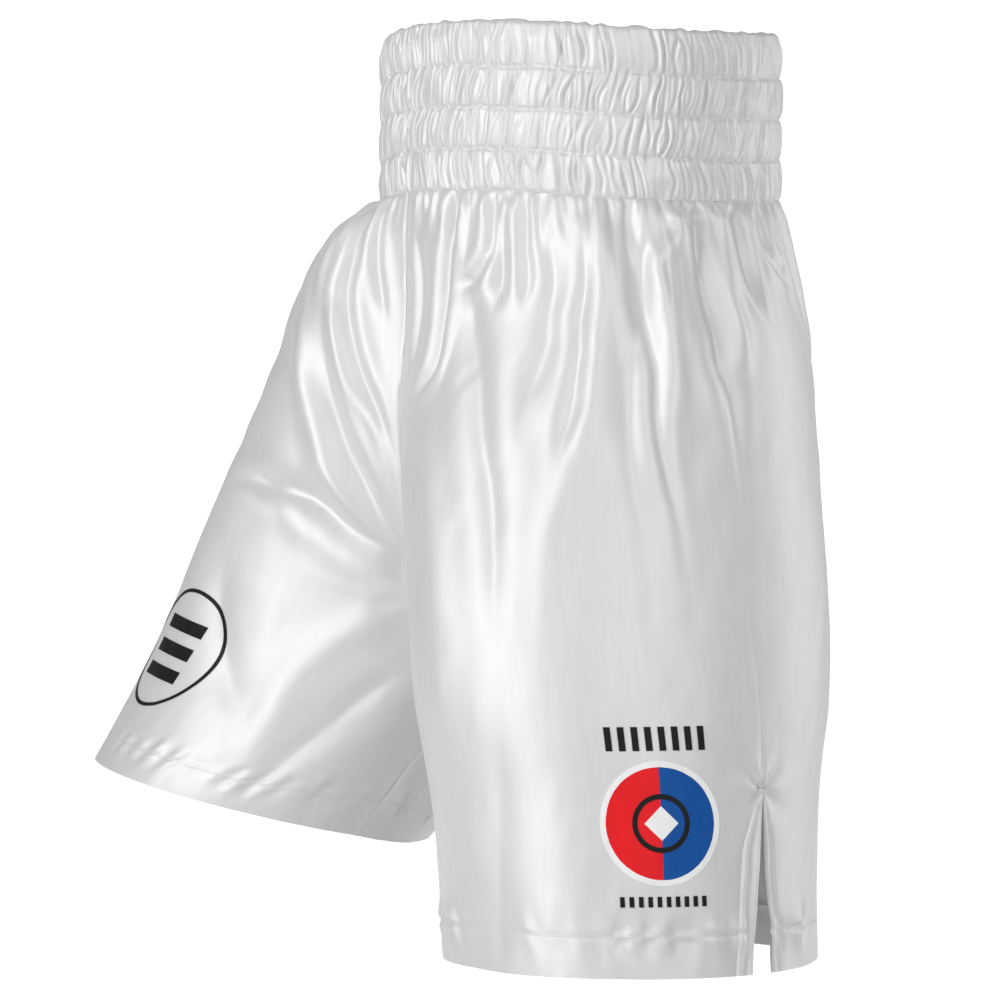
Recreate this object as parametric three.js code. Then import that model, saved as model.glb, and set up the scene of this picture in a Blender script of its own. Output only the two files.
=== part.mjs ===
// Satin boxing shorts: a four-row elastic waistband over two flared legs, with a vent at each side seam.
// Millimetres. The origin is the centre of the waist opening, in the plane of the waistband's top edge.
// +Z is up, -Y is the wearer's front and +X is the wearer's left. The right leg is swung forward and out.
import * as THREE from "three";

// Waistband
const waistWide = 148; // half the waist's width, over the stitch lines
const waistDeep = 117.5; // half the waist's depth
const rowHeights = [28, 25, 25, 24]; // the four elastic channels, from the top down
const puff = 2.4; // how far a channel stands out between its stitch lines
const puffShare = 0.25; // share of a row over which it swells to its full puff
const coverWall = 1.2; // gathered satin outside the elastic
const channel = 3; // room for the elastic between the cover and its lining
const liningWall = 1;
const foldHeight = 2; // satin over the top of the channel
const elasticThick = 1.6;
const elasticClear = 2; // from an elastic's edge to its stitch lines

// Cloth and sewing
const gap = 0.3; // between pieces that touch
const clothGap = 0.6; // from the cloth to a band that lies along it
const clothThick = 1.6;
const hemHeight = 24; // turned-up hem
const hemThick = 0.9;
const threadWide = 1.2;
const threadThick = 0.6;
const seamHalf = 5; // half the width of a pressed seam allowance
const seamThick = 1;
const riseFin = 7; // depth of the allowance that stands inside along the rise
const facingWide = 11; // strip sewn along each vent edge
const facingThick = 0.7;
const tackWide = 9;
const tackHigh = 2.6;

// Legs
const outseam = 460; // from the waistband seam to the hem
const crotchDrop = 284; // from the waistband seam to the crotch
const ventHigh = 106;
const ventOpen = 7; // half the vent's opening at the hem
const insideTurn = 12.5; // how far the inside leg seam turns to the back at the hem, in degrees
const sideTurn = 19; // and the side seam

// Marks
const markThick = 0.5;
const markGap = 0.6; // from the cloth to the marks printed on it
const badge = { drop: 372, fromFacing: 14, radius: 36, rim: 3.5, ring: 17, ringLine: 3, lozenge: 10 };
const captions = [
  { name: "badge_bar_upper", side: 1, clear: 6, half: 29, high: 14 },
  { name: "badge_bar_lower", side: -1, clear: 6, half: 26, high: 6 },
];
const ringMark = { drop: 358, turn: 0.243, radius: 42, line: 2.5, barHalf: 21, barHigh: 9, barStep: 17 };

const waistHeight = rowHeights.reduce((sum, row) => sum + row, 0);
const crotchShare = crotchDrop / outseam;
const ventTop = 1 - ventHigh / outseam;
const hemTop = 1 - hemHeight / outseam;
const seamLevel = -waistHeight - gap;

// Each leg at its stations from the waist to the hem. x, y and z place the section's centre, in the
// left leg's own sense of outward x; wide and deep are its half axes; flex lifts the front, out the outside.
const stations = [0, 0.06, 0.15, 0.35, crotchShare, 0.8, 1];
const legs = {
  left: {
    sign: 1,
    x: [0, 8, 20, 60, 105, 117, 128],
    y: [0, 1, 3, -8, -22.5, -26, -28],
    z: stations.map((share) => seamLevel - share * outseam),
    wide: [waistWide, waistWide + 1, waistWide - 1, 124, 105, 107, 112],
    deep: [waistDeep, waistDeep + 3, waistDeep + 5.5, 129, 130.5, 118.5, 111.8],
    flex: [0, 0, 0, 0, 0, 0, 0],
    out: [0, 0, 0, 0, 0, 0, 0],
  },
  right: {
    sign: -1,
    x: [0, 20, 45, 80, 116, 146, 178],
    y: [0, -18, -30, -46, -84, -110, -145],
    z: [0, 0.052, 0.133, 0.311, 0.528, 0.676, 0.824].map((fall) => seamLevel - fall * outseam),
    wide: [waistWide, waistWide - 2, waistWide - 7, 125, 112, 112, 112],
    deep: [waistDeep, waistDeep + 9.5, waistDeep + 14.5, 134, 127, 119, 112],
    flex: [0, 1.5, 4, 8, 11.5, 12, 11.5],
    out: [0, 1, 2, 4, 6, 7, 7.5],
  },
};

const halfSegments = 20; // along each half of the waistband
const panelRows = 20;
const rowsAbove = 11; // of those, above the crotch

const radians = THREE.MathUtils.degToRad;
const ease = (from, to, x) => THREE.MathUtils.smoothstep(x, from, to);

// A smooth curve through the stations that never overshoots between them.
function along(values, t) {
  const last = stations.length - 1;
  const at = THREE.MathUtils.clamp(t, 0, 1);
  const steps = stations.slice(1).map((x, i) => x - stations[i]);
  const slopes = steps.map((step, i) => (values[i + 1] - values[i]) / step);
  const tangents = values.map((_, i) => {
    if (i === 0) return slopes[0];
    if (i === last) return slopes[last - 1];
    if (slopes[i - 1] * slopes[i] <= 0) return 0;
    const before = 2 * steps[i] + steps[i - 1];
    const after = steps[i] + 2 * steps[i - 1];
    return (before + after) / (before / slopes[i - 1] + after / slopes[i]);
  });
  const i = Math.min(last - 1, stations.findLastIndex((x) => x <= at));
  const u = (at - stations[i]) / steps[i];
  return (
    values[i] * (1 + 2 * u) * (1 - u) ** 2 +
    tangents[i] * steps[i] * u * (1 - u) ** 2 +
    values[i + 1] * u * u * (3 - 2 * u) +
    tangents[i + 1] * steps[i] * u * u * (u - 1)
  );
}

// A point of a leg's section. s runs from the front end, 0, round the outside seam, 0.5, to the back end, 1.
function ring(name, s, t) {
  const leg = legs[name];
  const wide = along(leg.wide, t);
  const middle = along(leg.x, t);
  const half = Math.acos(t >= crotchShare ? -1 : -THREE.MathUtils.clamp(middle / wide, 0, 1));
  const crowd = 1 + 2.5 * ease(0.1, crotchShare, t); // the open section's missing part is taken up near its ends
  const back = s < 0.5 ? -1 : 1;
  const u = Math.abs(2 * s - 1); // from the side seam to the end
  const side = radians(sideTurn) * ease(0, 0.8, t);
  const inside = back * Math.PI - radians(insideTurn) * ease(crotchShare, 1, t);
  const angle = THREE.MathUtils.lerp(side, inside, u) - back * (Math.PI - half) * u ** crowd;
  const flex = radians(along(leg.flex, t));
  const out = radians(along(leg.out, t));
  const across = wide * Math.cos(angle);
  const forward = along(leg.deep, t) * Math.sin(angle);
  return new THREE.Vector3(
    leg.sign * (middle + across * Math.cos(out)),
    along(leg.y, t) + forward * Math.cos(flex),
    along(leg.z, t) - forward * Math.sin(flex) + across * Math.sin(out),
  );
}

// The seam between the two legs, in the plane x = 0, as far as the crotch: end is 0 in front and 1 behind.
function rise(end, t) {
  return ring("left", end, Math.min(t, crotchShare)).setX(0);
}

// The seam along the inside of a leg, from the crotch to the hem.
function inseam(name, end, t) {
  const u = (t - crotchShare) / (1 - crotchShare);
  const crotch = rise(end, crotchShare);
  const hem = ring(name, end, 1);
  const above = 0.02;
  const leaving = hem.clone().sub(crotch).multiply(new THREE.Vector3(1, 1, 0.3));
  const arriving = hem.clone().sub(ring(name, end, 1 - above));
  arriving.multiplyScalar((1.3 * (1 - crotchShare)) / above);
  return crotch
    .multiplyScalar((1 + 2 * u) * (1 - u) ** 2)
    .addScaledVector(leaving, u * (1 - u) ** 2)
    .addScaledVector(hem, u * u * (3 - 2 * u))
    .addScaledVector(arriving, u * u * (u - 1));
}

// How far a seam pulls the end of the leg's section.
function pull(name, end, t) {
  const seam = t < crotchShare ? rise(end, t) : inseam(name, end, t);
  return seam.sub(ring(name, end, t));
}

// A point of the outside of the cloth. s may run past 0 or 1, across the inside leg seam. A seam's pull
// fades with distance from it: further off, it swells and fades smoothly from the waist to the hem.
function cloth(name, s, t) {
  const round = s - Math.floor(s) || (s > 0.5 ? 1 : 0);
  const point = ring(name, round, t);
  const swell = ease(0, crotchShare, t) * (1 - ease(crotchShare, 1, t));
  for (const end of [0, 1]) {
    const away = Math.abs(round - end);
    const close = 1 - ease(0, 0.12, away);
    const wide = 1 - ease(0, 0.34, away);
    point.addScaledVector(pull(name, end, t), close);
    point.addScaledVector(pull(name, end, crotchShare), (wide - close) * swell);
  }
  point.x += (legs[name].sign * gap) / 2;
  return point;
}

// The outward normal there.
function outward(name, s, t) {
  const step = 0.004;
  const open = t < crotchShare; // above the crotch the section is an open curve
  const s0 = open ? Math.max(0, s - step) : s - step;
  const s1 = open ? Math.min(1, s + step) : s + step;
  const t0 = Math.max(0, t - step);
  const t1 = Math.min(1, t + step);
  const round = cloth(name, s1, t).sub(cloth(name, s0, t));
  const down = cloth(name, s, t1).sub(cloth(name, s, t0));
  const normal = down.cross(round).multiplyScalar(legs[name].sign);
  if (t <= 0) normal.z = 0; // the cloth leaves the waistband straight down
  return normal.normalize();
}

// A closed mesh from two layers of a grid of points, place(i, j, layer): layer 0 outside, 1 inside.
function slab(columns, rows, place, flip = false) {
  const position = [];
  const index = [];
  const at = (i, j, layer) => (layer * (rows + 1) + j) * (columns + 1) + i;
  for (const layer of [0, 1])
    for (let j = 0; j <= rows; j++)
      for (let i = 0; i <= columns; i++) position.push(...place(i / columns, j / rows, layer));
  const quad = (a, b, c, d) => index.push(...(flip ? [a, c, b, a, d, c] : [a, b, c, a, c, d]));
  for (let j = 0; j < rows; j++)
    for (let i = 0; i < columns; i++) {
      quad(at(i, j, 0), at(i, j + 1, 0), at(i + 1, j + 1, 0), at(i + 1, j, 0));
      quad(at(i, j, 1), at(i + 1, j, 1), at(i + 1, j + 1, 1), at(i, j + 1, 1));
    }
  for (let i = 0; i < columns; i++) {
    quad(at(i, 0, 0), at(i + 1, 0, 0), at(i + 1, 0, 1), at(i, 0, 1));
    quad(at(i, rows, 0), at(i, rows, 1), at(i + 1, rows, 1), at(i + 1, rows, 0));
  }
  for (let j = 0; j < rows; j++) {
    quad(at(0, j, 0), at(0, j, 1), at(0, j + 1, 1), at(0, j + 1, 0));
    quad(at(columns, j, 0), at(columns, j + 1, 0), at(columns, j + 1, 1), at(columns, j, 1));
  }
  const geometry = new THREE.BufferGeometry();
  geometry.setAttribute("position", new THREE.Float32BufferAttribute(position, 3));
  geometry.setIndex(index);
  geometry.computeVertexNormals();
  return geometry;
}

// A piece of a leg's cloth: where(u, v) gives its s and t, and it lies between two heights off the cloth.
function layer(name, columns, rows, where, top, bottom) {
  const place = (u, v, side) => {
    const [s, t] = where(u, v);
    return cloth(name, s, t).addScaledVector(outward(name, s, t), side ? bottom : top);
  };
  return slab(columns, rows, place, legs[name].sign < 0);
}

// How far round, as a share of s, a length across the cloth is at that level.
function roundShare(name, s, t, length) {
  const step = 0.01;
  return (length * 2 * step) / cloth(name, s + step, t).distanceTo(cloth(name, s - step, t));
}

function downShare(name, s, t, length) {
  const step = 0.01;
  return (length * 2 * step) / cloth(name, s, t + step).distanceTo(cloth(name, s, t - step));
}

const satin = new THREE.MeshStandardMaterial({ color: 0xf2f2f2, roughness: 0.4, metalness: 0 });
const thread = new THREE.MeshStandardMaterial({ color: 0xf7f7f7, roughness: 0.7, metalness: 0 });
const webbing = new THREE.MeshStandardMaterial({ color: 0xe9e7e2, roughness: 0.85, metalness: 0 });
const inks = {
  white: new THREE.MeshStandardMaterial({ color: 0xffffff, roughness: 0.5, metalness: 0 }),
  red: new THREE.MeshStandardMaterial({ color: 0xe81c24, roughness: 0.5, metalness: 0 }),
  blue: new THREE.MeshStandardMaterial({ color: 0x00529b, roughness: 0.5, metalness: 0 }),
  black: new THREE.MeshStandardMaterial({ color: 0x111111, roughness: 0.5, metalness: 0 }),
};

const shorts = new THREE.Group();
function add(name, geometry, material) {
  const mesh = new THREE.Mesh(geometry, material);
  mesh.name = name;
  shorts.add(mesh);
}

// A closed section, as [height off the waist ellipse, z] points in order, swept round the waist.
function waistSweep(section, from, to, segments) {
  const closed = to - from >= Math.PI * 2 - 1e-6;
  const count = section.length;
  const position = [];
  const index = [];
  const rings = closed ? segments : segments + 1;
  for (let k = 0; k < rings; k++) {
    const angle = from + ((to - from) * k) / segments;
    const normal = new THREE.Vector2(Math.cos(angle) / waistWide, Math.sin(angle) / waistDeep).normalize();
    for (const [off, z] of section)
      position.push(waistWide * Math.cos(angle) + normal.x * off, waistDeep * Math.sin(angle) + normal.y * off, z);
  }
  for (let k = 0; k < segments; k++)
    for (let i = 0; i < count; i++) {
      const a = k * count + i;
      const b = k * count + ((i + 1) % count);
      const c = ((k + 1) % rings) * count + ((i + 1) % count);
      const d = ((k + 1) % rings) * count + i;
      index.push(a, b, c, a, c, d);
    }
  if (!closed) {
    const outline = section.map(([off, z]) => new THREE.Vector2(off, z));
    const sense = THREE.ShapeUtils.area(outline);
    const end = segments * count;
    for (const face of THREE.ShapeUtils.triangulateShape(outline, [])) {
      if (THREE.ShapeUtils.area(face.map((i) => outline[i])) * sense < 0) face.reverse();
      const [a, b, c] = face;
      index.push(a, c, b, end + a, end + b, end + c);
    }
  }
  const geometry = new THREE.BufferGeometry();
  geometry.setAttribute("position", new THREE.Float32BufferAttribute(position, 3));
  geometry.setIndex(index);
  geometry.computeVertexNormals();
  return geometry;
}

function waistRect(inner, outer, low, high) {
  return waistSweep([[inner, low], [inner, high], [outer, high], [outer, low]], 0, Math.PI * 2, 2 * halfSegments);
}

// The levels of the rows' edges, from the top edge down.
function rowLevels() {
  const levels = [0];
  for (const row of rowHeights) levels.push(levels.at(-1) - row);
  return levels;
}

// Half of the gathered cover: up the outside over four puffs, over the fold and down the lining.
function addCover(name, from, to) {
  const levels = rowLevels();
  const flat = threadWide + gap;
  const outside = [];
  rowHeights.forEach((row, i) => {
    const top = levels[i];
    const rowTop = i === 0 ? top : top - flat;
    outside.push([i === 0 ? -foldHeight / 2 : 0, rowTop]);
    outside.push([puff, top - row * puffShare]);
    outside.push([puff, top - row * (1 - puffShare)]);
    outside.push([0, top - row + (i === rowHeights.length - 1 ? 0 : flat)]);
  });
  const inside = -coverWall - channel;
  const section = [
    ...outside.reverse(),
    [inside - liningWall + foldHeight / 2, 0],
    [inside - liningWall, -foldHeight],
    [inside - liningWall, -waistHeight],
    [inside, -waistHeight],
    [inside, -foldHeight],
    [-coverWall, -foldHeight],
    [-coverWall, -waistHeight],
  ].reverse();
  const clear = gap / 2 / waistWide;
  add(name, waistSweep(section, from + clear, to - clear, halfSegments), satin);
}

function addWaistband() {
  addCover("waistband_cover_left", -Math.PI / 2, Math.PI / 2);
  addCover("waistband_cover_right", Math.PI / 2, (3 * Math.PI) / 2);
  const levels = rowLevels();
  const inner = -coverWall - (channel + elasticThick) / 2;
  rowHeights.forEach((row, i) => {
    const high = levels[i] - elasticClear - (i === 0 ? foldHeight : 0);
    const low = levels[i + 1] + elasticClear;
    add(`elastic_band_${i + 1}`, waistRect(inner, inner + elasticThick, low, high), webbing);
    const level = i === rowHeights.length - 1 ? levels[i + 1] + threadWide : levels[i + 1];
    const sink = i === rowHeights.length - 1 ? puff * (threadWide * 2) / (row * puffShare) : 0;
    const off = gap + sink;
    const half = threadWide / 2;
    add(`waist_stitch_${i + 1}`, waistRect(off, off + threadThick, level - half, level + half), thread);
  });
}

// Half the vent's opening, as a share of s.
function ventShare(name, t) {
  const open = gap / 2 + ventOpen * ease(ventTop, 1, t);
  return roundShare(name, 0.5, t, open);
}

// The levels of the panels' rows, for k from 0 to panelRows. They close up towards the crotch, one row
// falls on it, and the last row is the hem.
function panelLevel(k) {
  const hemRow = panelRows - 1;
  if (k <= rowsAbove) return crotchShare * (1 - (1 - k / rowsAbove) ** 1.25);
  if (k <= hemRow) return THREE.MathUtils.mapLinear(k, rowsAbove, hemRow, crotchShare, hemTop);
  return THREE.MathUtils.lerp(hemTop, 1, k - hemRow);
}

function addPanels(name) {
  const columns = 20;
  const shy = (s, t) => roundShare(name, s, t, gap / 2);
  const panels = [
    [`front_panel_${name}`, (t) => [t < crotchShare ? 0 : shy(0.1, t), 0.5 - ventShare(name, t)]],
    [`back_panel_${name}`, (t) => [0.5 + ventShare(name, t), t < crotchShare ? 1 : 1 - shy(0.9, t)]],
  ];
  for (const [node, range] of panels) {
    const where = (u, v) => {
      const t = panelLevel(v * panelRows);
      const [from, to] = range(t);
      return [THREE.MathUtils.lerp(from, to, u), t];
    };
    add(node, layer(name, columns, panelRows, where, 0, -clothThick), satin);
  }
}

// What goes round a leg opening from one vent edge to the other, by way of the inside leg seam.
function openingBand(name, columns, from, to, edge, top, bottom) {
  const where = (u, v) => {
    const t = THREE.MathUtils.lerp(from, to, v);
    const reach = 0.5 - ventShare(name, t) - roundShare(name, 0.5, t, edge);
    return [THREE.MathUtils.lerp(-reach, reach, u), t];
  };
  return layer(name, columns, 1, where, top, bottom);
}

function addHem(name) {
  const lower = 1 - 0.5 / outseam; // the cloth folds round the hem's lower edge
  const under = -clothThick - clothGap;
  const hem = openingBand(name, 36, hemTop, lower, 0.5, under, under - hemThick);
  add(`hem_${name}`, hem, satin);
  const stitchTop = hemTop + gap / outseam;
  const stitchLow = stitchTop + threadWide / outseam;
  const edge = facingWide + 2 * gap;
  const stitch = openingBand(name, 48, stitchTop, stitchLow, edge, clothGap + threadThick, clothGap);
  add(`hem_stitch_${name}`, stitch, thread);
}

// The strips along the vent's two edges, and the tack that closes it at the top.
function addVent(name) {
  for (const [side, way] of [["front", -1], ["back", 1]]) {
    const where = (u, v) => {
      const t = THREE.MathUtils.lerp(ventTop, 1, v);
      const edge = 0.5 + way * (ventShare(name, t) + roundShare(name, 0.5, t, gap));
      const width = roundShare(name, 0.5, t, facingWide * (0.35 + 0.65 * ease(0, 0.35, v)));
      return [way < 0 ? edge - width * (1 - u) : edge + width * u, t];
    };
    add(`vent_facing_${name}_${side}`, layer(name, 2, 8, where, gap + facingThick, gap), satin);
  }
  const tackAt = ventTop - (tackHigh + gap) / outseam;
  const tack = (u, v) => [
    0.5 + roundShare(name, 0.5, tackAt, tackWide) * (u - 0.5),
    tackAt + (tackHigh / outseam) * v,
  ];
  add(`vent_tack_${name}`, layer(name, 3, 1, tack, gap + threadThick * 1.5, gap), thread);
}

// The pressed allowances of the side seam and the inside leg seam, against the inside of the cloth.
function addLegSeams(name) {
  const top = -clothThick - clothGap;
  const strip = (middle, from, to, lowest) => {
    const where = (u, v) => {
      const t = Math.min(lowest, panelLevel(THREE.MathUtils.lerp(from, to, v)));
      return [middle + roundShare(name, middle, t, 2 * seamHalf) * (u - 0.5), t];
    };
    return layer(name, 2, to - from, where, top, top - seamThick);
  };
  const ventRow = Array.from({ length: panelRows }, (_, k) => k).find((k) => panelLevel(k) > ventTop - 0.02);
  const hemEdge = hemTop - (2 * gap) / outseam;
  add(`side_seam_${name}`, strip(0.5, 0, ventRow, ventTop - 0.02), thread);
  add(`inside_leg_seam_${name}`, strip(0, rowsAbove + 1, panelRows - 1, hemEdge), thread);
}

// The seam between the legs, from the front of the waist through the crotch to the back: its allowance
// stands inside as a fin.
function addRiseSeam() {
  const steps = 15;
  const path = [];
  const from = 0.01;
  const to = crotchShare - 0.035;
  for (const end of [0, 1])
    for (let i = 0; i <= steps; i++) {
      const share = end ? 1 - i / steps : i / steps;
      path.push(rise(end, THREE.MathUtils.lerp(from, to, Math.sin((share * Math.PI) / 2))));
    }
  const inwardAt = (i) => {
    const before = path[Math.max(0, i - 1)];
    const after = path[Math.min(path.length - 1, i + 1)];
    const run = after.clone().sub(before).normalize();
    return new THREE.Vector3(0, -run.z, run.y).negate().normalize();
  };
  const start = clothThick + 3 * gap;
  const place = (u, v, side) => {
    const i = Math.round(v * (path.length - 1));
    const point = path[i].clone().addScaledVector(inwardAt(i), -(start + u * riseFin));
    return point.setX(side ? -seamThick / 2 : seamThick / 2);
  };
  add("rise_seam", slab(1, path.length - 1, place), thread);
}

// Maps a mark's own flat x and y, in millimetres, to the cloth round its centre.
function markFrame(name, mark) {
  const t = mark.drop / outseam;
  const across = roundShare(name, mark.turn, t, 1);
  const up = downShare(name, mark.turn, t, 1);
  return (x, y) => [mark.turn + x * across, t - y * up];
}

// A mark's piece between two curves, low(x) and high(x), for x from one edge to the other. Tier 0 lies on
// the cloth and tier 1 on a piece of tier 0.
function addMark(name, node, frame, [from, to], low, high, material, [columns, rows] = [8, 1], tier = 0) {
  const where = (u, v) => {
    const x = THREE.MathUtils.lerp(from, to, u);
    return frame(x, THREE.MathUtils.lerp(high(x), low(x), v));
  };
  const under = markGap + tier * (markThick + gap);
  add(node, layer(name, columns, rows, where, under + markThick, under), material);
}

// A ring made as a band of a circle, with a narrow slit where its ends meet.
function addRing(name, node, frame, outer, line, material, tier = 0) {
  const slit = gap / outer;
  const where = (u, v) => {
    const angle = Math.PI / 2 - THREE.MathUtils.lerp(slit / 2, Math.PI * 2 - slit / 2, u);
    const radius = outer - line * v;
    return frame(radius * Math.cos(angle), radius * Math.sin(angle));
  };
  const under = markGap + tier * (markThick + gap);
  add(node, layer(name, 40, 1, where, under + markThick, under), material);
}

function addBar(name, node, frame, middle, half, high) {
  const edge = (way) => () => middle + (way * high) / 2;
  addMark(name, node, frame, [-half, half], edge(-1), edge(1), inks.black);
}

function addBadge() {
  const t = badge.drop / outseam;
  const fromSeam = ventOpen + facingWide + 2 * gap + badge.fromFacing + badge.radius;
  const frame = markFrame("left", { drop: badge.drop, turn: 0.5 - roundShare("left", 0.46, t, fromSeam) });
  const field = badge.radius - badge.rim - gap;
  const circle = (way) => (x) => way * Math.sqrt(Math.max(0, field * field - x * x));
  const edges = [gap / 2, field * 0.98];
  addRing("left", "badge_rim", frame, badge.radius, badge.rim, inks.white);
  const grid = [10, 6];
  addMark("left", "badge_field_red", frame, edges.map((x) => -x).reverse(), circle(-1), circle(1), inks.red, grid);
  addMark("left", "badge_field_blue", frame, edges, circle(-1), circle(1), inks.blue, grid);
  addRing("left", "badge_ring", frame, badge.ring, badge.ringLine, inks.black, 1);
  const slope = (way) => (x) => way * badge.lozenge * (1 - Math.abs(x) / badge.lozenge);
  const span = [-badge.lozenge * 0.97, badge.lozenge * 0.97];
  addMark("left", "badge_lozenge", frame, span, slope(-1), slope(1), inks.white, [8, 4], 1);
  for (const bar of captions) {
    const middle = bar.side * (badge.radius + bar.clear + bar.high / 2);
    addBar("left", bar.name, frame, middle, bar.half, bar.high);
  }
}

function addRingMark() {
  const frame = markFrame("right", ringMark);
  addRing("right", "ring_mark", frame, ringMark.radius, ringMark.line, inks.black);
  for (const place of [1, 0, -1]) {
    const node = `ring_mark_bar_${2 - place}`;
    addBar("right", node, frame, place * ringMark.barStep, ringMark.barHalf, ringMark.barHigh);
  }
}

addWaistband();
for (const name of ["left", "right"]) {
  addPanels(name);
  addHem(name);
  addVent(name);
  addLegSeams(name);
}
addRiseSeam();
addBadge();
addRingMark();

export default shorts;
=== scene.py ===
import math

import bmesh
import bpy
import numpy as np
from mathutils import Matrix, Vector


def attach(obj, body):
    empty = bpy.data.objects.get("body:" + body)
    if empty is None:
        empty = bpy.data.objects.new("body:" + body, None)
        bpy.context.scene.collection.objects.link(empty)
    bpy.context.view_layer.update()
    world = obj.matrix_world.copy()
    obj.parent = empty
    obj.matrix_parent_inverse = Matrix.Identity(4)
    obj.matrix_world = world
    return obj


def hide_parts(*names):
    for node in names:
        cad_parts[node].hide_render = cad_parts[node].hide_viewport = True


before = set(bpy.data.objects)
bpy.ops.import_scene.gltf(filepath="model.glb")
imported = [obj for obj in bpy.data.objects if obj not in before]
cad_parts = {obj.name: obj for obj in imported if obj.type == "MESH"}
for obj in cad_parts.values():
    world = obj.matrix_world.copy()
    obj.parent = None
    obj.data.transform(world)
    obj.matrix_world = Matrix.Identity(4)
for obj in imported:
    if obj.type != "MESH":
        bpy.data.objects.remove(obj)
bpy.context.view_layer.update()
scene = bpy.context.scene

# Lengths are in millimetres until a mesh is made. A leg's cloth is mapped by s, which runs from the front
# seam, 0, round the side seam, 0.5, to the back seam, 1, and by t, from the waistband, 0, to the hem, 1.
mm = 0.001


cameraSettings = {
    "azimuth": 65.0,
    "distance": 2600.0,
    "aimHeight": -288.0,
    "sideShift": -49.4,
    "lens": 148.57,
}


def addObject(name, data):
    made = bpy.data.objects.new(name, data)
    scene.collection.objects.link(made)
    return made


def makeCamera():
    turn = math.radians(cameraSettings["azimuth"])
    away = cameraSettings["distance"]
    shift = cameraSettings["sideShift"]
    data = bpy.data.cameras.new("camera")
    data.lens = cameraSettings["lens"]
    data.sensor_width = 36.0
    data.clip_end = 50.0
    camera = addObject("camera", data)
    x = away * math.sin(turn) + shift * math.cos(turn)
    y = -away * math.cos(turn) + shift * math.sin(turn)
    camera.location = (x * mm, y * mm, cameraSettings["aimHeight"] * mm)
    camera.rotation_euler = (math.pi / 2, 0.0, turn)
    scene.camera = camera


makeCamera()
print("camera")


waist = {
    "wide": 148.0,
    "deep": 117.5,
    "rows": (28.0, 25.0, 25.0, 24.0),
    "saddle": (-6.5, 5.0),  # how far the band stands off its level at the hips, and at front and back
    "saddleReach": 0.45,
}
waistHeight = sum(waist["rows"])
rowCount = len(waist["rows"])
outseam = 460.0
crotch = 284.0 / outseam
ventTop = 1.0 - 106.0 / outseam
hemTop = 1.0 - 24.0 / outseam
stations = np.array([0, 0.06, 0.15, 0.35, crotch, 0.8, 1])
seamGap = 0.15

legs = {
    "left": {
        "sign": 1,
        "x": [0, 8, 20, 60, 105, 117, 128],
        "y": [0, 1, 3, -8, -22.5, -26, -28],
        "fall": [share * outseam for share in stations],
        "wide": [148, 149, 147, 124, 105, 107, 112],
        "deep": [117.5, 120.5, 123, 129, 130.5, 118.5, 111.8],
        "flex": [0] * 7,
        "out": [0] * 7,
    },
    "right": {
        "sign": -1,
        "x": [0, 20, 45, 80, 116, 146, 178],
        "y": [0, -18, -30, -46, -84, -110, -145],
        "fall": [share * outseam for share in (0, 0.052, 0.133, 0.311, 0.528, 0.676, 0.824)],
        "wide": [148, 146, 141, 125, 112, 112, 112],
        "deep": [117.5, 127, 132, 134, 127, 119, 112],
        "flex": [0, 1.5, 4, 8, 11.5, 12, 11.5],
        "out": [0, 1, 2, 4, 6, 7, 7.5],
    },
}


legShape = {
    "crowd": 2.5,  # how much the cloth bunches towards the seam between the legs
    "sideTurn": 19.0,  # degrees that the side seam lies behind the hip
    "insideTurn": 12.5,  # degrees that the inside leg seam turns on its way to the hem
    "seamReach": 0.12,  # share of the cloth that follows its seams closely
    "crotchReach": 0.34,
}


def ease(low, high, x):
    u = np.clip((x - low) / (high - low), 0, 1)
    return u * u * (3 - 2 * u)


# A bump, 1 where x is 0 and nearly gone where it is 2.
def bell(x):
    return np.exp(-(x**2))


def unit(vectors):
    return vectors / np.linalg.norm(vectors, axis=-1, keepdims=True)


# The length run along a line of points, at each of them.
def lengthAlong(points):
    return np.concatenate([[0], np.cumsum(np.linalg.norm(np.diff(points, axis=0), axis=1))])


# How far the waist is raised, from 0 at the hips to 1 at the middle of the front and the back.
def saddleAt(share):
    low, high = waist["saddle"]
    return low + (high - low) * share


# A curve from a to b for u from 0 to 1, with its direction at each end.
def bend(a, b, leaving, arriving, u):
    return (
        a * (1 + 2 * u) * (1 - u) ** 2
        + leaving * u * (1 - u) ** 2
        + b * u * u * (3 - 2 * u)
        + arriving * u * u * (u - 1)
    )


# A curve through the stations that never overshoots.
def along(values, t):
    v = np.array(values, float)
    step = np.diff(stations)
    slope = np.diff(v) / step
    tangent = np.zeros_like(v)
    tangent[0], tangent[-1] = slope[0], slope[-1]
    for i in range(1, len(v) - 1):
        if slope[i - 1] * slope[i] > 0:
            before = 2 * step[i] + step[i - 1]
            after = step[i] + 2 * step[i - 1]
            tangent[i] = (before + after) / (before / slope[i - 1] + after / slope[i])
    at = np.clip(t, 0, 1)
    i = np.clip(np.searchsorted(stations, at, side="right") - 1, 0, len(v) - 2)
    u = (at - stations[i]) / step[i]
    return bend(v[i], v[i + 1], tangent[i] * step[i], tangent[i + 1] * step[i], u)


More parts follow.
